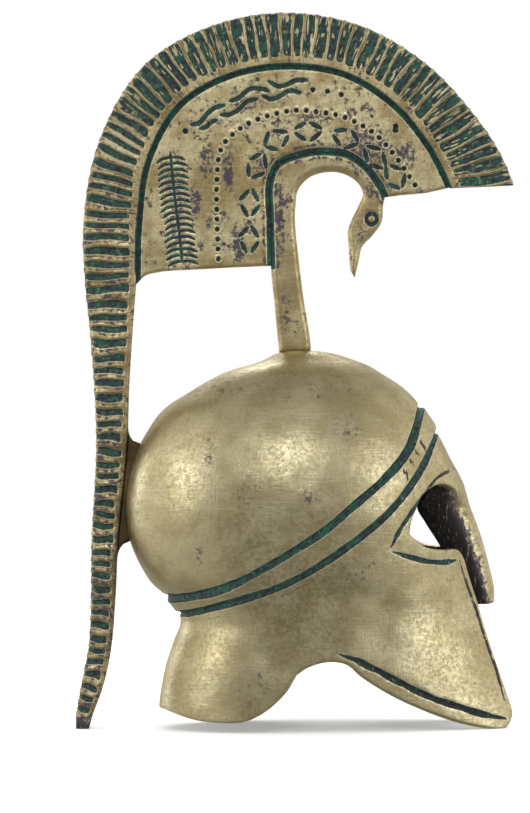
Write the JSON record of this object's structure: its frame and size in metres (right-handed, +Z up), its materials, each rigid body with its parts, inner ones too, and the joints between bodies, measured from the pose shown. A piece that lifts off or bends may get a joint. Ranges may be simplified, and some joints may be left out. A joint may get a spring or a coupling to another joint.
{
  "type": "greek helmet",
  "caption": "Corinthian type Greek helmet, a desk-size bronze replica with a swan neck crest holder, an engraved panel and a fluted plume that runs down to a long tail.",
  "frame": {"origin": "on the floor, under the middle of the whole object's length, in its plane of symmetry", "axes": "+X out of the face of the helmet, +Y to the helmet's left, +Z up"},
  "size_m": [0.1865, 0.098, 0.3009],
  "materials": {
    "bowl_bronze": "satin brushed cast bronze with dark patina, and verdigris in the grooves",
    "swan_bronze": "satin cast bronze, worn light on the edges",
    "panel_bronze": "cast bronze with dark mottled patina, and verdigris in the engraving",
    "plume_bronze": "cast bronze, verdigris in the flutes and worn light ridges",
    "dark_bronze": "dark patinated cast bronze"
  },
  "bodies": {
    "root": {"helmet_shell": "bowl_bronze", "crest_holder": "swan_bronze", "crest_panel": "panel_bronze", "crest_plume": "plume_bronze", "tail_bridge": "dark_bronze"}
  },
  "joints": []
}
